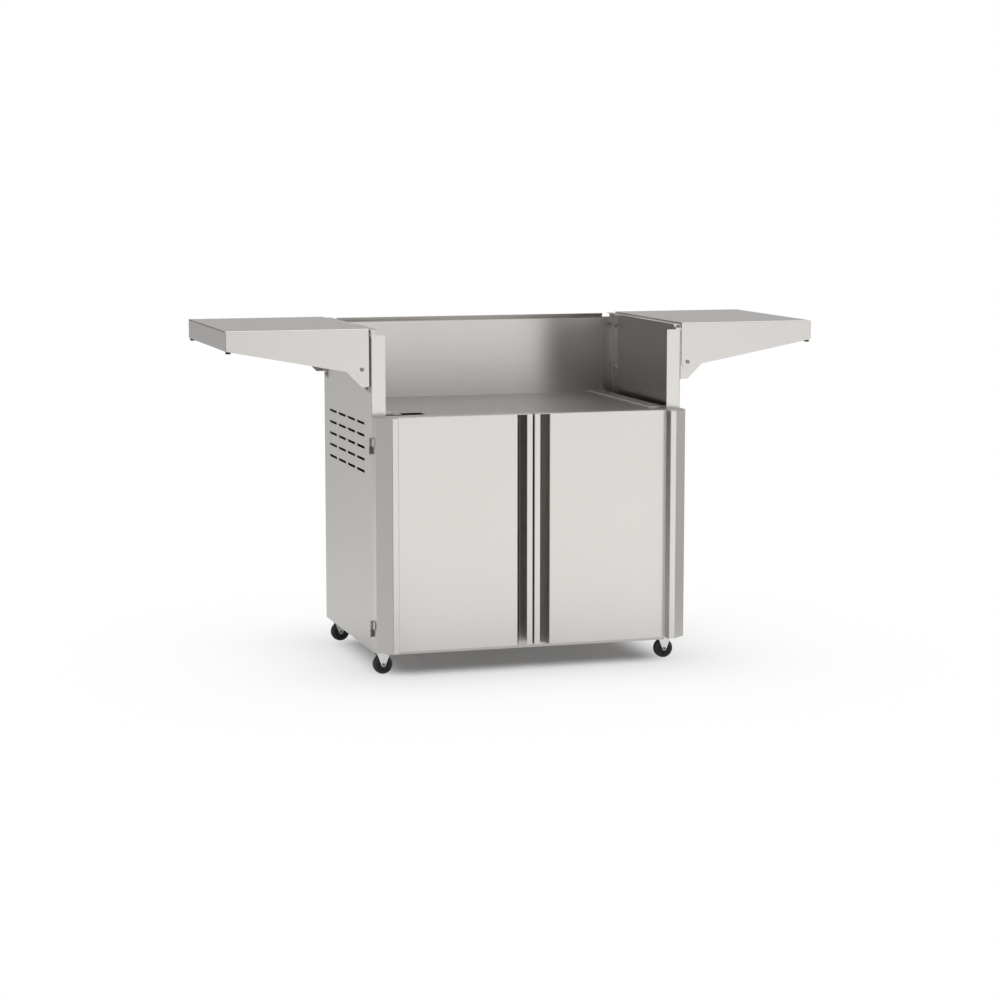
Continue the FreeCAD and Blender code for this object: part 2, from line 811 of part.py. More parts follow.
# Casters, built round the swivel axis: top plate with kingpin, fork, axle bolt, hub and tyre
top_plate = block(-plate_half_x, plate_half_x, -plate_half_y, plate_half_y, plate_low, plate_top)
upper_race = rod(0, 0, race_bottom, race_radius, plate_low - race_bottom, along_z)
kingpin = rod(0, 0, kingpin_head_bottom, kingpin_radius, plate_low - kingpin_head_bottom, along_z)
pin_head = rod(0, 0, kingpin_head_bottom, kingpin_head_radius, kingpin_head_height, along_z)
caster_plate = joined([top_plate, upper_race, kingpin, pin_head])
plate_holes = [set_along(plate_hole, vec(x, y, plate_low - past), along_z) for x, y in plate_bolts]
caster_plate = caster_plate.cut(plate_holes)

crown = block(-leg_top_half, leg_top_half, -leg_outer, leg_outer, crown_bottom, crown_top)
crown_race = rod(0, 0, crown_top, crown_race_radius, crown_race_height, along_z)
tip_drop = crown_bottom - wheel_radius
tip_reach = math.hypot(leg_top_half, tip_drop)
tip_angle = math.acos(leg_tip_radius / tip_reach) - math.atan2(tip_drop, leg_top_half)
tip_x = leg_tip_radius * math.cos(tip_angle)
tip_z = wheel_radius - leg_tip_radius * math.sin(tip_angle)
leg_outline = [
    (-leg_top_half, crown_top),
    (-leg_top_half, crown_bottom),
    (-tip_x, tip_z),
    (tip_x, tip_z),
    (leg_top_half, crown_bottom),
    (leg_top_half, crown_top),
]
leg_pieces = []
for y in (-leg_outer, leg_inner):
    leg_pieces.append(prism(leg_outline, on_front(y), vec(0, leg_thick, 0)))
    leg_pieces.append(rod(0, y, wheel_radius, leg_tip_radius, leg_thick, along_y))
swivel_through = crown_thick + crown_race_height + 2.0 * past
swivel_bore = rod(0, 0, crown_bottom - past, kingpin_radius + running_gap, swivel_through, along_z)
axle_bore_radius = axle_radius + running_gap
axle_through = 2.0 * (leg_outer + past)
axle_bore = rod(0, -leg_outer - past, wheel_radius, axle_bore_radius, axle_through, along_y)
fork = joined([crown, crown_race] + leg_pieces).cut([swivel_bore, axle_bore])

axle_shank = rod(0, -leg_outer, wheel_radius, axle_radius, 2.0 * leg_outer, along_y)
axle_head = hexagon(axle_head_width, axle_head_height)
axle_ends = [
    set_along(axle_head, vec(0, leg_outer, wheel_radius), along_y),
    set_along(axle_head, vec(0, -leg_outer, wheel_radius), vec(0, -1, 0)),
]
axle = joined([axle_shank] + axle_ends)

hub = rod(0, -hub_half_width, wheel_radius, tyre_inner, 2.0 * hub_half_width, along_y)
for y in (-hub_half_width, hub_half_width - hub_rebate):
    ring = rod(0, y, wheel_radius, tyre_inner - hub_rim, hub_rebate, along_y)
    boss = rod(0, y, wheel_radius, hub_boss_radius, hub_rebate, along_y)
    hub = hub.cut(ring.cut(boss))
hub = hub.cut(axle_bore)
tyre = rod(0, -tyre_half_width, wheel_radius, wheel_radius, 2.0 * tyre_half_width, along_y)
tyre_rims = [edge for edge in tyre.Edges if edge.BoundBox.YLength < nearly]
tyre = tyre.makeFillet(tyre_rounding, tyre_rims)
tyre = tyre.cut(rod(0, -leg_outer, wheel_radius, tyre_inner, 2.0 * leg_outer, along_y))

caster_pieces = {
    "caster_plate": caster_plate,
    "caster_fork": fork,
    "caster_axle": axle,
    "wheel_hub": hub,
    "wheel_tyre": tyre,
}
for corner, (x, y) in caster_places.items():
    for piece, shape in caster_pieces.items():
        placed = shape.copy()
        placed.translate(vec(x, y, 0))
        parts[corner + "_" + piece] = placed

# Bolts that hold the caster plates under the cabinet floor
caster_bolt = bolt_and_nut(plate_grip)
caster_bolts = [set_along(caster_bolt, vec(x, y, plate_low), along_z) for x, y in plate_bolt_places]
parts["caster_bolts"] = Part.makeCompound(caster_bolts)

for name, shape in parts.items():
    shape.exportStep("parts/" + name + ".step")
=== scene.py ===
import json
import math

import bmesh
import bpy
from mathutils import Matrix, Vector

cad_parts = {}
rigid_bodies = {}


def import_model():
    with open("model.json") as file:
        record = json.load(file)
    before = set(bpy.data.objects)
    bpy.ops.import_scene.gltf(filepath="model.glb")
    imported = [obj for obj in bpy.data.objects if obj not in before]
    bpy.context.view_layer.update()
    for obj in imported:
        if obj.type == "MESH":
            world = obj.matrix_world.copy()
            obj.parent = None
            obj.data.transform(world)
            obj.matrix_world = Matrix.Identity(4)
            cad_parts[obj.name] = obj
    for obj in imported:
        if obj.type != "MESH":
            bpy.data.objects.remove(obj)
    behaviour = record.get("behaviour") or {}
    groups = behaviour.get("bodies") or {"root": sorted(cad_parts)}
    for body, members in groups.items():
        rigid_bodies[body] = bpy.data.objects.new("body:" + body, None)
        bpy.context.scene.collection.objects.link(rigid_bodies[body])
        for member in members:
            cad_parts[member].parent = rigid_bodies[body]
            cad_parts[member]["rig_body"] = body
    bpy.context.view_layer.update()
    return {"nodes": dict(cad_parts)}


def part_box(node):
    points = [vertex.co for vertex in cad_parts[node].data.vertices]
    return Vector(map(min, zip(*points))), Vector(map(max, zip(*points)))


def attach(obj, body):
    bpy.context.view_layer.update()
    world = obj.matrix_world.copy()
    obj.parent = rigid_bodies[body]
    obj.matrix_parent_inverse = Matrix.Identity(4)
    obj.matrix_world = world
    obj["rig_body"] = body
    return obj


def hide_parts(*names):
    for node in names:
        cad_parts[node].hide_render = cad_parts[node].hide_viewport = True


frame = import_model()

scene = bpy.context.scene

# Tyres: black moulded rubber rings, pressed over the hubs of the four wheels.
# Round shoulders lead to a crowned tread with a fine parting line from the mould,
# and a raised band runs round each side wall.
corners = ("front_left", "front_right", "rear_left", "rear_right")
turned_steps = 96
sharp_angle = math.radians(32.0)
seam_gap = 0.000002
shoulder_radius = 0.0035
shoulder_steps = 8
tread_crown = 0.00015
parting_height = 0.00012
parting_half = 0.00022
band_height = 0.0005
band_inner = 0.0193
band_outer = 0.0211
tyre_sweep = 0.02
origin = (0.0, 0.0, 0.0)
object_output = 3
rubber_gloss = 0.35
rubber_rough = 0.42
rubber_grains = 2500.0
rubber_grain_depth = 0.00004
dust_grains = 160.0
dust_detail = 4.0
dust_rough = 0.3
tyre_black = (0.045, 0.045, 0.045, 1.0)
tyre_dusty = (0.092, 0.091, 0.090, 1.0)


class Tap:
    """A socket in a node tree: operators add Math nodes, and node() adds any other node."""

    def __init__(self, tree, socket=None):
        self.tree = tree
        self.socket = socket

    def node(self, kind, settings, inputs, output=0):
        made = self.tree.nodes.new(kind)
        for name, value in settings.items():
            setattr(made, name, value)
        for name, value in inputs.items():
            shown = [s for s in made.inputs if s.enabled]
            socket = shown[name] if isinstance(name, int) else next(s for s in shown if s.name == name)
            for part in value if isinstance(value, list) else [value]:
                if isinstance(part, Tap):
                    self.tree.links.new(part.socket, socket)
                else:
                    socket.default_value = part
        outputs = [s for s in made.outputs if s.enabled]
        return Tap(self.tree, outputs[output])

    def math(self, operation, first, second):
        return self.node("ShaderNodeMath", {"operation": operation}, {0: first, 1: second})

    def __add__(self, other):
        return self.math("ADD", self, other)

    def __radd__(self, other):
        return self.math("ADD", other, self)

    def __sub__(self, other):
        return self.math("SUBTRACT", self, other)

    def __rsub__(self, other):
        return self.math("SUBTRACT", other, self)

    def __mul__(self, other):
        return self.math("MULTIPLY", self, other)

    def __rmul__(self, other):
        return self.math("MULTIPLY", other, self)

    def into(self, socket):
        self.tree.links.new(self.socket, socket)


def look(name, fixed):
    """New material with its shader's fixed values, its shader and its Object coordinates."""
    material = bpy.data.materials.new(name)
    material.use_nodes = True
    tree = material.node_tree
    shader = tree.nodes["Principled BSDF"]
    for socket, value in fixed.items():
        shader.inputs[socket].default_value = value
    coordinates = Tap(tree).node("ShaderNodeTexCoord", {}, {}, object_output)
    return material, shader, coordinates


def noise(coordinates, scale, stretch=(1.0, 1.0, 1.0), detail=2.0):
    """Noise of so many grains per metre, stretched along the axes."""
    spread = tuple(scale * s for s in stretch)
    placed = coordinates.node("ShaderNodeMapping", {}, {"Vector": coordinates, "Scale": spread})
    return coordinates.node("ShaderNodeTexNoise", {}, {"Vector": placed, "Scale": 1.0, "Detail": detail})


def blend(first, second, share):
    """Colour that goes from the first to the second with the share."""
    return share.node("ShaderNodeMix", {"data_type": "RGBA"}, {"Factor": share, "A": first, "B": second})


def raised(height, distance):
    """Normal of a surface with this height pattern, so many metres deep."""
    return height.node("ShaderNodeBump", {}, {"Height": height, "Distance": distance})


def moulded_rubber(name, dark, dusty):
    material, shader, place = look(name, {"Specular IOR Level": rubber_gloss})
    dust = noise(place, dust_grains, detail=dust_detail)
    blend(dark, dusty, dust).into(shader.inputs["Base Color"])
    (rubber_rough + dust * dust_rough).into(shader.inputs["Roughness"])
    raised(noise(place, rubber_grains), rubber_grain_depth).into(shader.inputs["Normal"])
    return material


def named_tree(name, sizes):
    """New Geometry Nodes tree with named inputs for its sizes, its inputs as taps, and its output socket."""
    kinds = {float: "NodeSocketFloat", int: "NodeSocketInt", tuple: "NodeSocketVector"}
    tree = bpy.data.node_groups.new(name, "GeometryNodeTree")
    tree.interface.new_socket("Geometry", in_out="INPUT", socket_type="NodeSocketGeometry")
    for label, value in sizes.items():
        tree.interface.new_socket(label, in_out="INPUT", socket_type=kinds[type(value)])
    tree.interface.new_socket("Geometry", in_out="OUTPUT", socket_type="NodeSocketGeometry")
    given = tree.nodes.new("NodeGroupInput")
    result = tree.nodes.new("NodeGroupOutput")
    taps = {socket.name: Tap(tree, socket) for socket in given.outputs if socket.name}
    return tree, taps, result.inputs[0]


def settled(name, base, tree, sizes):
    """Object with the plain mesh that a tree makes from a base mesh and its sizes."""
    piece = bpy.data.objects.new(name, base)
    scene.collection.objects.link(piece)
    form = piece.modifiers.new("form", "NODES")
    form.node_group = tree
    for item in tree.interface.items_tree:
        if item.in_out == "INPUT" and item.name in sizes:
            form[item.identifier] = sizes[item.name]
    graph = bpy.context.evaluated_depsgraph_get()
    made = bpy.data.meshes.new_from_object(piece.evaluated_get(graph))
    piece.modifiers.remove(form)
    piece.data = made
    shell = bmesh.new()
    shell.from_mesh(made)
    bmesh.ops.recalc_face_normals(shell, faces=shell.faces)
    shell.to_mesh(made)
    shell.free()
    made.shade_smooth()
    made.set_sharp_from_angle(angle=sharp_angle)
    return piece


def dressed(shape, material, result):
    """Ends a tree: its copies become one plain mesh of this material."""
    solid = shape.node("GeometryNodeRealizeInstances", {}, {0: shape})
    clothed = solid.node("GeometryNodeSetMaterial", {}, {"Geometry": solid, "Material": material})
    clothed.into(result)


def turned_tree(name, sizes, material):
    """Tree that sweeps its base outline round a circle of this radius about Z, then turns and moves it."""
    tree, given, result = named_tree(name, sizes)
    start = given["Geometry"]
    outline = start.node("GeometryNodeMeshToCurve", {}, {"Mesh": start})
    circle = start.node(
        "GeometryNodeCurvePrimitiveCircle",
        {},
        {"Radius": given["Radius"], "Resolution": given["Steps"]},
    )
    sweep = start.node("GeometryNodeCurveToMesh", {}, {"Curve": circle, "Profile Curve": outline})
    closed = sweep.node("GeometryNodeMergeByDistance", {}, {"Geometry": sweep, "Distance": seam_gap})
    rotation = closed.node("FunctionNodeEulerToRotation", {}, {"Euler": given["Turn"]})
    moves = {"Geometry": closed, "Translation": given["Middle"], "Rotation": rotation}
    placed = closed.node("GeometryNodeTransform", {}, moves)
    dressed(placed, material, result)
    return tree


def outline_mesh(name, points, radius, closed):
    """Base mesh of an outline given as distance from the axis and height along it."""
    count = len(points)
    edges = [(i, (i + 1) % count) for i in range(count if closed else count - 1)]
    mesh = bpy.data.meshes.new(name)
    mesh.from_pydata([(out - radius, -height, 0.0) for out, height in points], edges, [])
    return mesh


def arc(middle_out, middle_height, radius, first, last, steps):
    """Points of an arc in an outline, with its angles in degrees from the outward direction."""
    angles = [math.radians(first + (last - first) * i / steps) for i in range(steps + 1)]
    return [(middle_out + radius * math.cos(a), middle_height + radius * math.sin(a)) for a in angles]


def middle_of(node):
    low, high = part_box(node)
    return 0.5 * (Vector(low) + Vector(high))


def size_of(node):
    low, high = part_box(node)
    return Vector(high) - Vector(low)


def settle_on(piece, body, nodes=()):
    """Lets a piece ride on a body, in place of the nodes that it stands for."""
    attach(piece, body)
    if nodes:
        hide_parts(*nodes)


def body_of(node):
    return frame["nodes"][node]["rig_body"]


tyre_rubber = moulded_rubber("tyre_rubber", tyre_black, tyre_dusty)
along_axle = (math.radians(-90.0), 0.0, 0.0)
tyre_sizes = {"Radius": tyre_sweep, "Steps": turned_steps, "Middle": origin, "Turn": along_axle}
tyre_tree = turned_tree("turned_tyre", tyre_sizes, tyre_rubber)
for corner in corners:
    node = corner + "_wheel_tyre"
    tyre_radius = 0.5 * size_of(node).z
    tyre_half = 0.5 * size_of(node).y
    tyre_bore = 0.5 * size_of(corner + "_wheel_hub").z
    wall = tyre_half - band_height
    tread_half = wall - shoulder_radius
    tread = tyre_radius - parting_height
    shoulder_out = tread - tread_crown - shoulder_radius
    shoulder = arc(shoulder_out, tread_half, shoulder_radius, 0.0, 90.0, shoulder_steps)
    half_outline = [(tyre_radius, 0.0), (tread, parting_half)] + shoulder
    half_outline += [
        (band_outer, wall),
        (band_outer - band_height, tyre_half),
        (band_inner + band_height, tyre_half),
        (band_inner, wall),
        (tyre_bore, wall),
    ]
    other_half = [(out, -height) for out, height in reversed(half_outline[1:])]
    tyre_sizes["Middle"] = tuple(middle_of(node))
    outline = outline_mesh(node, half_outline + other_half, tyre_sizes["Radius"], closed=True)
    tyre = settled(corner + "_moulded_tyre", outline, tyre_tree, tyre_sizes)
    settle_on(tyre, body_of(node), [node])

# Wheel hubs: black moulded plastic, pressed inside the tyres, with a boss that runs on the axle.
# Ribs in the ring-shaped recess of each face tie the boss to the rim.
merge_gap = 0.000005
flat_angle = math.radians(0.4)
bevel_angle = math.radians(40.0)
edge_steps = 2
level_share = 0.7
full_weight = 100
hub_edge = 0.0004
rib_count = 8
rib_thick = 0.0014
rib_inner = 0.0076
rib_outer = 0.0163
rib_depth = 0.0027
rib_setback = 0.0004
plastic_black = (0.026, 0.026, 0.027, 1.0)
plastic_worn = (0.042, 0.042, 0.042, 1.0)
plastic_gloss = 0.4
plastic_rough = 0.36
plastic_wear_rough = 0.16
plastic_wear_grains = 60.0
plastic_grains = 1800.0
plastic_grain_depth = 0.00003


def moulded_plastic():
    material, shader, place = look("black_plastic", {"Specular IOR Level": plastic_gloss})
    wear = noise(place, plastic_wear_grains)
    blend(plastic_black, plastic_worn, wear).into(shader.inputs["Base Color"])
    (plastic_rough + wear * plastic_wear_rough).into(shader.inputs["Roughness"])
    raised(noise(place, plastic_grains), plastic_grain_depth).into(shader.inputs["Normal"])
    return material


def lies_level(face):
    return abs(face.normal.z) > level_share


def eased(node, material, edge, other=None, takes_other=lies_level):
    """Copy of a piece with its flat faces whole and its edges broken by a small round, in place of it.

    Where another finish is given, the faces that a rule picks take it, or else those that lie level.
    """
    source = frame["nodes"][node]
    shell = bmesh.new()
    shell.from_mesh(source.data)
    bmesh.ops.remove_doubles(shell, verts=shell.verts, dist=merge_gap)
    bmesh.ops.dissolve_limit(shell, angle_limit=flat_angle, verts=shell.verts, edges=shell.edges)
    mesh = bpy.data.meshes.new(node)
    shell.to_mesh(mesh)
    shell.free()
    mesh.materials.append(material)
    if other:
        mesh.materials.append(other)
        for face in mesh.polygons:
            face.material_index = int(takes_other(face))
    mesh.shade_smooth()
    piece = bpy.data.objects.new(node + "_eased", mesh)
    scene.collection.objects.link(piece)
    rounding = piece.modifiers.new("edges", "BEVEL")
    rounding.width = edge
    rounding.segments = edge_steps
    rounding.limit_method = "ANGLE"
    rounding.angle_limit = bevel_angle
    flatness = piece.modifiers.new("flatness", "WEIGHTED_NORMAL")
    flatness.mode = "FACE_AREA"
    flatness.weight = full_weight
    graph = bpy.context.evaluated_depsgraph_get()
    made = bpy.data.meshes.new_from_object(piece.evaluated_get(graph))
    piece.modifiers.clear()
    piece.data = made
    settle_on(piece, body_of(node), [node])


def points_mesh(name, places):
    """Base mesh of points, each with its turn as Euler angles."""
    mesh = bpy.data.meshes.new(name)
    mesh.from_pydata([place for place, turn in places], [], [])
    turns = mesh.attributes.new("turn", "FLOAT_VECTOR", "POINT")
    for row, (place, turn) in zip(turns.data, places):
        row.vector = turn
    return mesh


def repeat_tree(name, build, sizes, material):
    """Tree that sets the shape made by build at every point of its base mesh, with the point's turn."""
    tree, given, result = named_tree(name, sizes)
    start = given["Geometry"]
    turn = start.node("GeometryNodeInputNamedAttribute", {"data_type": "FLOAT_VECTOR"}, {"Name": "turn"})
    rotation = turn.node("FunctionNodeEulerToRotation", {}, {"Euler": turn})
    inputs = {"Points": start, "Instance": build(given), "Rotation": rotation}
    copies = start.node("GeometryNodeInstanceOnPoints", {}, inputs)
    dressed(copies, material, result)
    return tree


def vector(x, y, z):
    """Vector whose parts may be taps."""
    tap = next(part for part in (x, y, z) if isinstance(part, Tap))
    return tap.node("ShaderNodeCombineXYZ", {}, {"X": x, "Y": y, "Z": z})


def rib(given):
    """Upright plate on the origin."""
    block = vector(given["Thick"], given["Depth"], given["Length"])
    return block.node("GeometryNodeMeshCube", {}, {"Size": block})


black_plastic = moulded_plastic()
rib_sizes = {"Thick": rib_thick, "Depth": rib_depth, "Length": rib_outer - rib_inner}
rib_tree = repeat_tree("hub_ribs", rib, rib_sizes, black_plastic)
for corner in corners:
    node = corner + "_wheel_hub"
    eased(node, black_plastic, hub_edge)
    hub_middle = middle_of(node)
    rib_place = 0.5 * size_of(node).y - rib_setback - 0.5 * rib_depth
    rib_middle = 0.5 * (rib_inner + rib_outer)
    rib_places = []
    for facing in (-1.0, 1.0):
        for i in range(rib_count):
            angle = 2.0 * math.pi * i / rib_count
            out = Vector((math.sin(angle) * rib_middle, facing * rib_place, math.cos(angle) * rib_middle))
            rib_places.append((hub_middle + out, (0.0, angle, 0.0)))
    ribs = settled(corner + "_hub_ribs", points_mesh(node, rib_places), rib_tree, rib_sizes)
    settle_on(ribs, body_of(node))

# Caster forks, plates and axles: pressed steel, with bright zinc plating on the forks and a dark finish on
# the axles.
# The plates take the same dark colour as painted shade, for the shade they sit in under the cabinet.
# The fork turns on the kingpin of its plate, and the axle bolt holds the hub between the fork's legs.
fork_edge = 0.0006
axle_edge = 0.0005
plating_grains = 220.0
plating_detail = 3.0
plating_rough_spread = 0.22
pit_grains = 900.0
pit_depth = 0.00003
bright_shades = ((0.79, 0.80, 0.81, 1.0), (0.90, 0.90, 0.89, 1.0))
bright_rough = 0.24
dark_shades = ((0.16, 0.16, 0.16, 1.0), (0.30, 0.30, 0.29, 1.0))
worn_rough = 0.3


def zinc_plating(name, shades, rough):
    material, shader, place = look(name, {"Metallic": 1.0})
    cloud = noise(place, plating_grains, detail=plating_detail)
    blend(*shades, cloud).into(shader.inputs["Base Color"])
    (rough + cloud * plating_rough_spread).into(shader.inputs["Roughness"])
    raised(noise(place, pit_grains), pit_depth).into(shader.inputs["Normal"])
    return material


zinc = zinc_plating("zinc_plate", bright_shades, bright_rough)
dark_zinc_and_painted_shade = zinc_plating("dark_zinc_and_painted_shade", dark_shades, worn_rough)
for corner in corners:
    # Painted shade: the plates' dark colour stands for the shade under the cabinet floor.
    eased(corner + "_caster_plate", dark_zinc_and_painted_shade, fork_edge)
    eased(corner + "_caster_fork", zinc, fork_edge)
    eased(corner + "_caster_axle", dark_zinc_and_painted_shade, axle_edge)

# Cabinet floor: stainless sheet, painted darker than the outer panels as painted shade for its front lip,
# which shows under the doors.
# The side panels stand at its ends, and the casters hang under it.
sheet_edge = 0.0003
mill_and_painted_shade_tones = ((0.515, 0.497, 0.477, 1.0), (0.535, 0.517, 0.497, 1.0))
steel_rough = 0.26
steel_rough_spread = 0.02
line_grains = 1500.0
line_depth = 0.000002
band_grains = 260.0
band_detail = 4.0
cloud_grains = 3.5
cloud_detail = 3.0
grain_stretch = 0.006
level_grain = (grain_stretch, 1.0, 1.0)


def brushed_steel(name, stretch, shades, brush):
    """Brushed stainless sheet, with its grain along the axes whose stretch is small."""
    material, shader, place = look(name, {"Metallic": 1.0, **brush})
    lines = noise(place, line_grains, stretch)
    bands = noise(place, band_grains, stretch, band_detail)
    cloud = noise(place, cloud_grains, detail=cloud_detail)
    rough = steel_rough + cloud * steel_rough_spread + bands * steel_rough_spread
    blend(*shades, bands).into(shader.inputs["Base Color"])
    rough.into(shader.inputs["Roughness"])
    raised(lines, line_depth).into(shader.inputs["Normal"])
    return material


# Painted shade: this steel is darker than the panels' steel, for the lip that lies in the shade under the
# doors.
mill_and_painted_shade_steel = brushed_steel("stainless_mill_painted_shade", level_grain, mill_and_painted_shade_tones, {})
eased("cabinet_floor", mill_and_painted_shade_steel, sheet_edge)

# Caster bolts: hexagon bolts of plated steel, four to a caster, with nuts inside the cabinet.
# Heads and nuts have the usual chamfer on their outer face.
hex_sides = 6
hex_chamfer = math.radians(30.0)
hex_face_share = 0.95
hex_round_steps = 48
bolt_head_width = 0.010
bolt_head_height = 0.004
bolt_nut_height = 0.005
bolt_shank_radius = 0.003
bolt_end_setback = 0.0006
bore_clear = 0.00025
bore_past = 0.001
unturned = (0.0, 0.0, 0.0)
upside_down = (math.pi, 0.0, 0.0)
compared_digits = 5
dull_shades = ((0.36, 0.36, 0.36, 1.0), (0.50, 0.50, 0.49, 1.0))


def moved(shape, place, turn=unturned):
    moves = {"Geometry": shape, "Translation": place, "Rotation": turn}
    return shape.node("GeometryNodeTransform", {}, moves)


def combined(operation, shapes):
    settings = {"operation": operation, "solver": "EXACT"}
    return shapes[0].node("GeometryNodeMeshBoolean", settings, {0: shapes})


def taken_from(shape, tools):
    settings = {"operation": "DIFFERENCE", "solver": "EXACT"}
    return shape.node("GeometryNodeMeshBoolean", settings, {"Mesh 1": shape, "Mesh 2": tools})


def drum(radius, low, height, steps=hex_round_steps):
    """Upright cylinder that starts at a level."""
    tap = next(part for part in (radius, low, height) if isinstance(part, Tap))
    sizes = {"Vertices": steps, "Radius": radius, "Depth": height}
    cylinder = tap.node("GeometryNodeMeshCylinder", {}, sizes)
    return moved(cylinder, vector(0.0, 0.0, low + height * 0.5))


def chamfered_hexagon(width, height):
    """Hexagonal head or nut that stands on the origin, with its upper corners turned off."""
    prism = drum(width * (1.0 / math.sqrt(3.0)), 0.0, height, hex_sides)
    face_radius = width * (0.5 * hex_face_share)
    foot_radius = face_radius + height * (1.0 / math.tan(hex_chamfer))
    cone_sizes = {
        "Vertices": hex_round_steps,
        "Radius Top": face_radius,
        "Radius Bottom": foot_radius,
        "Depth": height,
    }
    cone = width.node("GeometryNodeMeshCone", {}, cone_sizes)
    return combined("INTERSECT", [prism, cone])


def bored_nut(width, start, height, shank_radius):
    """Hexagonal nut that starts at a level, with a clear bore for its shank."""
    nut = moved(chamfered_hexagon(width, height), vector(0.0, 0.0, start))
    bore = drum(shank_radius + bore_clear, start - bore_past, height + 2.0 * bore_past)
    return taken_from(nut, [bore])


def joined(shapes):
    return shapes[0].node("GeometryNodeJoinGeometry", {}, {0: shapes})


def hexagon_bolt(given):
    """Bolt along Z with its head under the origin and its nut on the grip."""
    width = given["Width"]
    grip = given["Grip"]
    nut_height = given["Nut height"]
    shank_radius = given["Shank radius"]
    head = moved(chamfered_hexagon(width, given["Head height"]), origin, upside_down)
    nut = bored_nut(width, grip, nut_height, shank_radius)
    shank = drum(shank_radius, 0.0, grip + nut_height - bolt_end_setback)
    return joined([head, nut, shank])


def solids_of(node):
    """Lowest and highest corners of each separate solid in a node."""
    shell = bmesh.new()
    shell.from_mesh(frame["nodes"][node].data)
    bmesh.ops.remove_doubles(shell, verts=shell.verts, dist=merge_gap)
    waiting = set(shell.verts)
    boxes = []
    while waiting:
        front = [waiting.pop()]
        island = []
        while front:
            vert = front.pop()
            island.append(vert.co.copy())
            for edge in vert.link_edges:
                other = edge.other_vert(vert)
                if other in waiting:
                    waiting.remove(other)
                    front.append(other)
        low = Vector([min(point[axis] for point in island) for axis in range(3)])
        high = Vector([max(point[axis] for point in island) for axis in range(3)])
        boxes.append((low, high))
    shell.free()
    return sorted(boxes, key=lambda box: tuple(round(c, compared_digits) for c in box[0]))


dull_zinc = zinc_plating("dull_zinc", dull_shades, worn_rough)
caster_boxes = solids_of("caster_bolts")
low, high = caster_boxes[0]
bolt_sizes = {
    "Width": bolt_head_width,
    "Head height": bolt_head_height,
    "Nut height": bolt_nut_height,
    "Shank radius": bolt_shank_radius,
    "Grip": high.z - low.z - bolt_head_height - bolt_nut_height,
}
bolt_tree = repeat_tree("hexagon_bolts", hexagon_bolt, bolt_sizes, dull_zinc)
caster_bolt_places = []
for low, high in caster_boxes:
    place = 0.5 * (low + high)
    place.z = low.z + bolt_head_height
    caster_bolt_places.append((place, unturned))
bolt_points = points_mesh("caster_bolts", caster_bolt_places)
bolts = settled("caster_hexagon_bolts", bolt_points, bolt_tree, bolt_sizes)
settle_on(bolts, "cart", ["caster_bolts"])

# Side panels: brushed stainless sheet with upright grain, folded inward at the front and along the top.
# Five rows of four vent slots are punched in each, and the shelf brackets bolt to its upper half.
sides = ("left", "right")
steel_shades = ((0.666, 0.644, 0.620, 1.0), (0.684, 0.662, 0.638, 1.0))
brush_pull = 0.8
upright_grain = (1.0, 1.0, grain_stretch)
upright_brush = {"Anisotropic": brush_pull}
upright_steel = brushed_steel("stainless_upright", upright_grain, steel_shades, upright_brush)
for side in sides:
    eased(side + "_side_panel", upright_steel, sheet_edge)

# Back panel and corner angles: the back sheet closes the cabinet and the grill bay, grain across.
# A leaning lip stiffens its top edge, and an upright angle in each rear corner ties it to the sides.
quarter_turn = 0.25
across_grain = (grain_stretch, grain_stretch, 1.0)
across_brush = {"Anisotropic": brush_pull, "Anisotropic Rotation": quarter_turn}
across_steel = brushed_steel("stainless_across", across_grain, steel_shades, across_brush)
level_steel = brushed_steel("stainless_level", level_grain, steel_shades, {})
eased("back_panel", across_steel, sheet_edge, level_steel)
for side in sides:
    eased(side + "_corner_angle", across_steel, sheet_edge, level_steel)

# Deck and rails: the floor of the grill bay, folded down at its front and rear, with the hose opening.
# It has the darker steel of the cabinet floor, whose colour holds painted shade, and a flat bar on each side
# carries the grill head.
eased("deck", mill_and_painted_shade_steel, sheet_edge)
for side in sides:
    eased(side + "_deck_rail", level_steel, sheet_edge)

# Shelf brackets: folded stainless gussets, each held to the side panel by two hexagon bolts.
# The bolts' heads are outside, and their nuts are inside the cabinet.
bracket_ends = ("front", "rear")


def along(direction):
    """Euler angles that turn Z to a direction."""
    return tuple(Vector(direction).to_track_quat("Z", "Y").to_euler())


for side in sides:
    for end in bracket_ends:
        eased(side + "_" + end + "_bracket", across_steel, sheet_edge)
bracket_groups = {}
for low, high in solids_of("bracket_bolts"):
    middle = 0.5 * (low + high)
    inward = -math.copysign(1.0, middle.x)
    outer = low.x if inward > 0.0 else high.x
    place = Vector((outer + inward * bolt_head_height, middle.y, middle.z))
    grip = round(high.x - low.x - bolt_head_height - bolt_nut_height, compared_digits)
    bracket_groups.setdefault(grip, []).append((place, along((inward, 0.0, 0.0))))
for i, (grip, places) in enumerate(sorted(bracket_groups.items())):
    bolt_sizes["Grip"] = grip
    bolt_points = points_mesh("bracket_bolts", places)
    bolts = settled("bracket_hexagon_bolts_" + str(i), bolt_points, bolt_tree, bolt_sizes)
    settle_on(bolts, "cart", ["bracket_bolts"] if i == 0 else ())

# Pivot screws: shoulder screws with domed heads and cross recesses, on which the shelves turn.
# Each is clamped to its bracket between a collar and a nut, and its head stands clear of the skirt.
pivot_head_radius = 0.0055
pivot_head_height = 0.003
pivot_dome_radius = 0.0085
pivot_shank_radius = 0.003
pivot_collar_radius = 0.005
pivot_collar_start = 0.0022
pivot_collar_thick = 0.0007
cross_length = 0.0056
cross_width = 0.0013
cross_depth = 0.0018


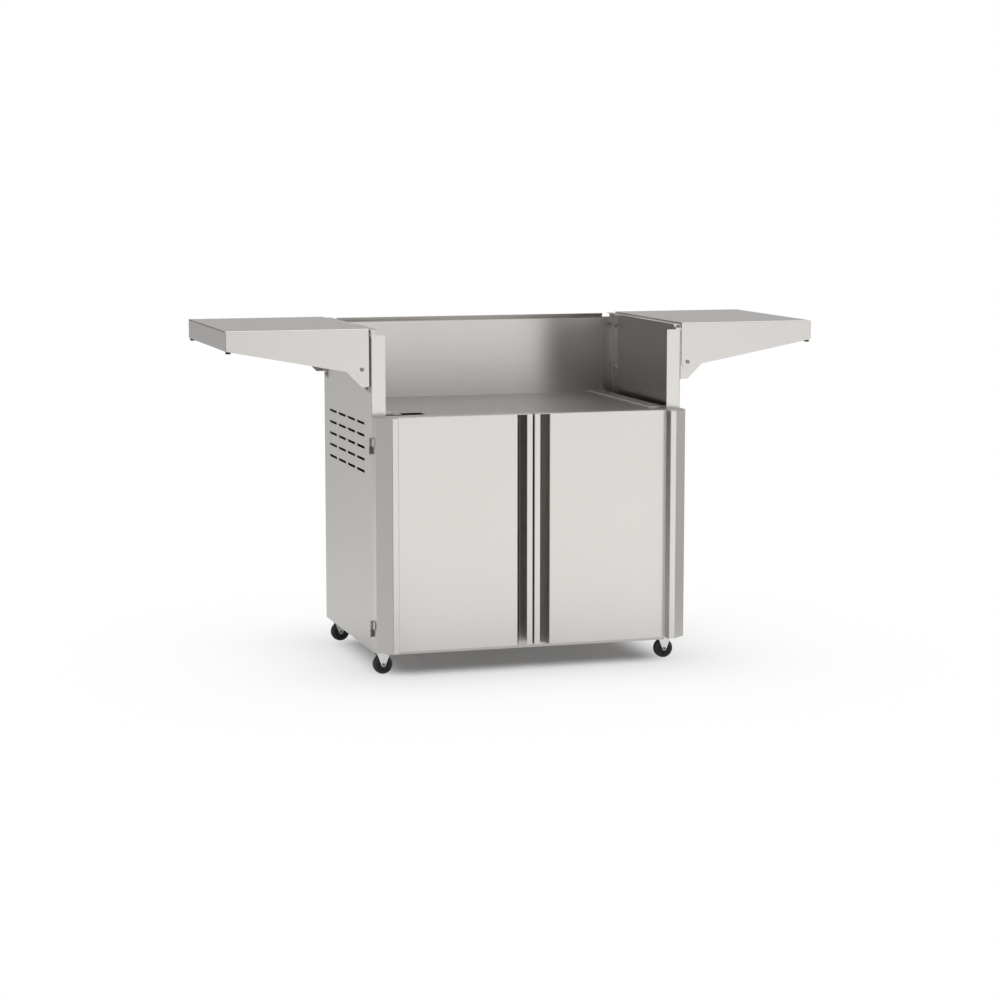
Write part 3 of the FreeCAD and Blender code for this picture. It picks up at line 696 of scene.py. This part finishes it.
def cross_head(radius, height, dome_radius):
    """Domed screw head that stands on the origin, with a cross recess in its top."""
    ball = {"Segments": hex_round_steps, "Rings": hex_round_steps, "Radius": dome_radius}
    dome = radius.node("GeometryNodeMeshUVSphere", {}, ball)
    dome = moved(dome, vector(0.0, 0.0, height - dome_radius))
    head = combined("INTERSECT", [drum(radius, 0.0, height), dome])
    top = vector(0.0, 0.0, height)
    bar_size = (cross_length, cross_width, 2.0 * cross_depth)
    slots = []
    for turn in (0.0, math.radians(90.0)):
        bar = head.node("GeometryNodeMeshCube", {}, {"Size": bar_size})
        slots.append(moved(bar, top, (0.0, 0.0, turn)))
    return taken_from(head, slots)


def pivot_screw(given):
    """Shoulder screw along Z, with its head under the origin and its nut at the far end."""
    reach = given["Reach"]
    nut_height = given["Nut height"]
    shank_radius = given["Shank radius"]
    head = cross_head(given["Head radius"], given["Head height"], given["Dome radius"])
    head = moved(head, origin, upside_down)
    shank = drum(shank_radius, 0.0, reach - bolt_end_setback)
    collar = drum(given["Collar radius"], given["Collar start"], given["Collar thick"])
    nut = bored_nut(given["Width"], reach - nut_height, nut_height, shank_radius)
    return joined([head, shank, collar, nut])


low, high = solids_of("left_pivot_bolts")[0]
pivot_sizes = {
    "Head radius": pivot_head_radius,
    "Head height": pivot_head_height,
    "Dome radius": pivot_dome_radius,
    "Shank radius": pivot_shank_radius,
    "Collar radius": pivot_collar_radius,
    "Collar start": pivot_collar_start,
    "Collar thick": pivot_collar_thick,
    "Width": bolt_head_width,
    "Nut height": bolt_nut_height,
    "Reach": high.y - low.y - pivot_head_height,
}
pivot_tree = repeat_tree("pivot_screws", pivot_screw, pivot_sizes, dull_zinc)
shelf_middle = middle_of("left_shelf").y
for side in sides:
    node = side + "_pivot_bolts"
    places = []
    for low, high in solids_of(node):
        middle = 0.5 * (low + high)
        inward = 1.0 if middle.y < shelf_middle else -1.0
        outer = low.y if inward > 0.0 else high.y
        place = Vector((middle.x, outer + inward * pivot_head_height, middle.z))
        places.append((place, along((0.0, inward, 0.0))))
    screws = settled(side + "_pivot_screws", points_mesh(node, places), pivot_tree, pivot_sizes)
    settle_on(screws, "cart", [node])

# Folding shelves: stainless pans, open below, with skirts that taper to the outer end.
# The skirts' inner ends run down to ears that turn on the pivot screws.
for side in sides:
    eased(side + "_shelf", across_steel, sheet_edge, level_steel)

# Shelf bumpers: black rubber buttons under a shelf's outer corners, to meet the side panel as it hangs.
# Each has a round foot, a narrower waist near the shelf and a dimple in its end.
bumper_waist = 0.0007
bumper_foot_round = 0.0016
bumper_dimple_radius = 0.0026
bumper_dimple_depth = 0.0012
bumper_sweep = 0.004
bumper_black = (0.014, 0.014, 0.014, 1.0)
bumper_dusty = (0.030, 0.030, 0.030, 1.0)
bumper_rubber = moulded_rubber("bumper_rubber", bumper_black, bumper_dusty)
bumper_sizes = {"Radius": bumper_sweep, "Steps": turned_steps, "Middle": origin, "Turn": unturned}
bumper_tree = turned_tree("turned_bumper", bumper_sizes, bumper_rubber)
for side in sides:
    node = side + "_shelf_bumpers"
    for i, (low, high) in enumerate(solids_of(node)):
        radius = 0.5 * (high.x - low.x)
        height = high.z - low.z
        foot_out = radius - bumper_foot_round
        foot = arc(foot_out, bumper_foot_round, bumper_foot_round, 0.0, -90.0, shoulder_steps)
        bumper_outline = [(0.0, height), (radius - bumper_waist, height), (radius, 0.5 * height)] + foot
        bumper_outline += [
            (bumper_dimple_radius, 0.0),
            (bumper_dimple_radius, bumper_dimple_depth),
            (0.0, bumper_dimple_depth),
        ]
        place = 0.5 * (low + high)
        bumper_sizes["Middle"] = (place.x, place.y, low.z)
        outline = outline_mesh(node, bumper_outline, bumper_sizes["Radius"], closed=False)
        bumper = settled(side + "_bumper_" + str(i), outline, bumper_tree, bumper_sizes)
        settle_on(bumper, body_of(node), [node] if i == 0 else ())

# Doors: each a skin folded from one sheet, with a chamfered wall, a proud strip, a flat panel and a pull.
# A cap closes the top, and an inner pan closes the back and the bottom. The pull and the step beside the
# strip are painted a little darker than the face, as painted shade for these recesses.
recess_painted_shade_tones = ((0.600, 0.580, 0.558, 1.0), (0.616, 0.596, 0.574, 1.0))
gap_wall = 0.0021
strip_end = 0.0525
panel_setback = 0.0265
panel_margin = 0.003
skin_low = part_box("left_door_skin")[0]
recess_reach = abs(skin_low[0]) - strip_end
panel_level = skin_low[1] + panel_setback


def in_recess(face):
    """Whether a face of a door's skin lies in the pull or in the step beside the strip, which take the
    painted shade.
    """
    inside = gap_wall < abs(face.center.x) < recess_reach
    return inside and abs(face.center.y - panel_level) > panel_margin


# Painted shade: a darker steel for the pull and the step beside the strip, standing for the shade in them.
recess_painted_shade_steel = brushed_steel("stainless_recess_painted_shade", across_grain, recess_painted_shade_tones, across_brush)
for side in sides:
    eased(side + "_door_skin", across_steel, sheet_edge, recess_painted_shade_steel, in_recess)
    for part in ("cap", "pan"):
        eased(side + "_door_" + part, across_steel, sheet_edge, level_steel)

# Hinges: lift-off hinges, with the pin half on the side panel and the socket half on the door.
# Their plates have the finish of the sheets that they lie on, and their plated knuckles are darker below.
hinge_edge = 0.0005
knuckle_reach = 0.0045
knuckle_start = abs(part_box("left_hinge_bases")[0][0]) - knuckle_reach


def on_knuckle(face):
    return abs(face.center.x) > knuckle_start


for side in sides:
    eased(side + "_hinge_bases", upright_steel, hinge_edge, dark_zinc_and_painted_shade, on_knuckle)
    eased(side + "_hinge_leaves", upright_steel, hinge_edge, dull_zinc, on_knuckle)

# Catches: black plastic bodies with a magnet between two steel poles, under the deck's front fold.
# Each pulls at a plated strike on the back of its door.
catch_edge = 0.0012
strike_edge = 0.0004
pole_length = 0.034
pole_thick = 0.0016
pole_depth = 0.003
pole_spread = 0.0027
pole_proud = 0.00015
pole_sizes = {"Thick": pole_length, "Depth": pole_depth, "Length": pole_thick}
pole_tree = repeat_tree("catch_poles", rib, pole_sizes, zinc)
for side in sides:
    eased(side + "_catch", black_plastic, catch_edge)
    face_middle = middle_of(side + "_catch")
    face_middle.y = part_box(side + "_catch")[0][1] + 0.5 * pole_depth - pole_proud
    pole_places = []
    for rise in (-pole_spread, pole_spread):
        pole_places.append((face_middle + Vector((0.0, 0.0, rise)), unturned))
    poles = settled(side + "_catch_poles", points_mesh("catch_poles", pole_places), pole_tree, pole_sizes)
    settle_on(poles, "cart")
    eased(side + "_strike", zinc, strike_edge)

# Studio: a wide pale floor and a soft surround, white to the camera. Round the cart's footprint the camera
# sees a painted shadow on the floor, and close to the cart the floor has a faint painted glow. What the
# steel mirrors is set by soft cards, each a heading, two angles and a brightness: the floor beyond the cart
# glows by its cards, the low part of the room is dark on the left and bright on the right, and the upper
# part is dark at the front left and bright overhead.
floor_reach = 60.0
floor_white = (0.86, 0.86, 0.86, 1.0)
white = (1.0, 1.0, 1.0, 1.0)
black = (0.0, 0.0, 0.0, 1.0)
floor_mesh = bpy.data.meshes.new("studio_floor")
ring = [(floor_reach * x, floor_reach * y, 0.0) for x, y in ((-1, -1), (1, -1), (1, 1), (-1, 1))]
floor_mesh.from_pydata(ring, [], [(0, 1, 2, 3)])
studio_floor = bpy.data.objects.new("studio_floor", floor_mesh)
scene.collection.objects.link(studio_floor)


def grey(value):
    return (value, value, value, 1.0)


def heading_of(azimuth, elevation):
    """Unit vector of a heading in degrees, with azimuth 0 at the front and 90 at the right."""
    a = math.radians(azimuth)
    e = math.radians(elevation)
    return (math.sin(a) * math.cos(e), -math.cos(a) * math.cos(e), math.sin(e))


def ramp(value, first, last):
    """Share that rises softly from 0 at the first value to 1 at the last."""
    limits = {"Value": value, "From Min": first, "From Max": last, "To Min": 0.0, "To Max": 1.0}
    return value.node("ShaderNodeMapRange", {"interpolation_type": "SMOOTHSTEP"}, limits)


def vector_math(operation, *given):
    return given[0].node("ShaderNodeVectorMath", {"operation": operation}, dict(enumerate(given)))


def carded(direction, rest, cards):
    """Brightness of the surround in a direction: the rest, with each card laid over it."""
    shade = grey(rest)
    for azimuth, elevation, inner, outer, brightness in cards:
        close = vector_math("DOT_PRODUCT", direction, heading_of(azimuth, elevation))
        share = ramp(close, math.cos(math.radians(outer)), math.cos(math.radians(inner)))
        shade = blend(shade, grey(brightness), share)
    return shade


floor_rest = 0.49
floor_cards = (
    (2.6, 0.0, 35.0, 46.5, 1.25),
    (325.6, 0.0, 10.5, 22.5, 0.0),
    (256.6, 0.0, 53.0, 59.5, 0.78),
)
low_rest = 0.5
low_cards = (
    (262.0, 0.0, 84.0, 90.0, 0.0),
    (66.0, 0.0, 26.5, 75.0, 0.98),
)
upper_rest = 0.46
upper_cards = (
    (322.0, 50.0, 33.5, 39.5, 0.0),
    (0.0, 90.0, 23.0, 53.5, 1.8),
)
low_end = math.sin(math.radians(8.7))
upper_start = math.sin(math.radians(13.7))
mirrored_floor_start = 0.5
mirrored_floor_end = 1.2
footprint_rounding = 0.11
footprint_side_inset = 0.015
footprint_front_reach = 0.025
seen_floor_start = -0.1
seen_floor_end = 0.04
painted_shadow_depth = 0.28
painted_shadow_reach = 0.17
painted_floor_glow = 0.08
flattened = (1.0, 1.0, 0.0)
upward = (0.0, 0.0, 1.0)


def footprint_distance(place):
    """How far a place on the floor lies outside the cart's footprint, taken with round corners."""
    low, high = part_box("cabinet_floor")
    right = high[0] - footprint_side_inset
    front = low[1] - footprint_front_reach
    half_depth = 0.5 * (high[1] - front)
    half = (right - footprint_rounding, half_depth - footprint_rounding, floor_reach)
    offset = vector_math("ABSOLUTE", vector_math("SUBTRACT", place, (0.0, front + half_depth, 0.0)))
    beyond = vector_math("MAXIMUM", vector_math("SUBTRACT", offset, half), origin)
    return vector_math("LENGTH", beyond) - footprint_rounding


def floor_paint():
    material, shader, place = look("floor_paint", {"Roughness": 1.0, "Specular IOR Level": 0.0})
    shader.inputs["Emission Strength"].default_value = 1.0
    away = vector_math("LENGTH", place)
    heading = vector_math("NORMALIZE", place)
    seen = place.node("ShaderNodeLightPath", {}, {})
    mirrored_far = ramp(away, mirrored_floor_start, mirrored_floor_end)
    outside = footprint_distance(place)
    seen_far = ramp(outside, seen_floor_start, seen_floor_end)
    far = mirrored_far + (seen_far - mirrored_far) * seen
    # Painted shadow: seen by the camera, the floor's glow darkens towards the cart's footprint and fades out
    # with distance.
    painted_shadow_falloff = outside.node("ShaderNodeMath", {"operation": "EXPONENT"}, {0: outside * (-1.0 / painted_shadow_reach)})
    painted_shadow_tone = 1.0 - painted_shadow_falloff * painted_shadow_depth
    glow = blend(carded(heading, floor_rest, floor_cards), painted_shadow_tone, seen)
    # Painted light: close to the cart the floor glows faintly, lifting its shade.
    blend(grey(painted_floor_glow), glow, far).into(shader.inputs["Emission Color"])
    blend(floor_white, black, far).into(shader.inputs["Base Color"])
    return material


floor_mesh.materials.append(floor_paint())
room = bpy.data.worlds.new("studio")
scene.world = room
room.use_nodes = True
room_heading = Tap(room.node_tree).node("ShaderNodeTexCoord", {}, {})
room_seen = room_heading.node("ShaderNodeLightPath", {}, {})
room_level = vector_math("NORMALIZE", vector_math("MULTIPLY", room_heading, flattened))
room_rise = ramp(vector_math("DOT_PRODUCT", room_heading, upward), low_end, upper_start)
room_low = carded(room_level, low_rest, low_cards)
room_upper = carded(room_heading, upper_rest, upper_cards)
room_shade = blend(blend(room_low, room_upper, room_rise), white, room_seen)
room_shade.into(room.node_tree.nodes["Background"].inputs["Color"])

# Camera: at the photograph's place, looking slightly down from the front left.
# Its lens is a long one, so the upright edges of the cart stay nearly parallel.
film_width = 36.0
focal_length = 91.41
camera_place = Vector((-1.96823, -6.51465, 1.32469))
camera_heading = Vector((0.28569, 0.94911, -0.13253))
lens = bpy.data.cameras.new("camera")
lens.sensor_width = film_width
lens.lens = focal_length
camera = bpy.data.objects.new("camera", lens)
camera.location = camera_place
camera.rotation_euler = camera_heading.to_track_quat("-Z", "Y").to_euler()
scene.collection.objects.link(camera)
scene.camera = camera
scene.view_settings.view_transform = "Standard"
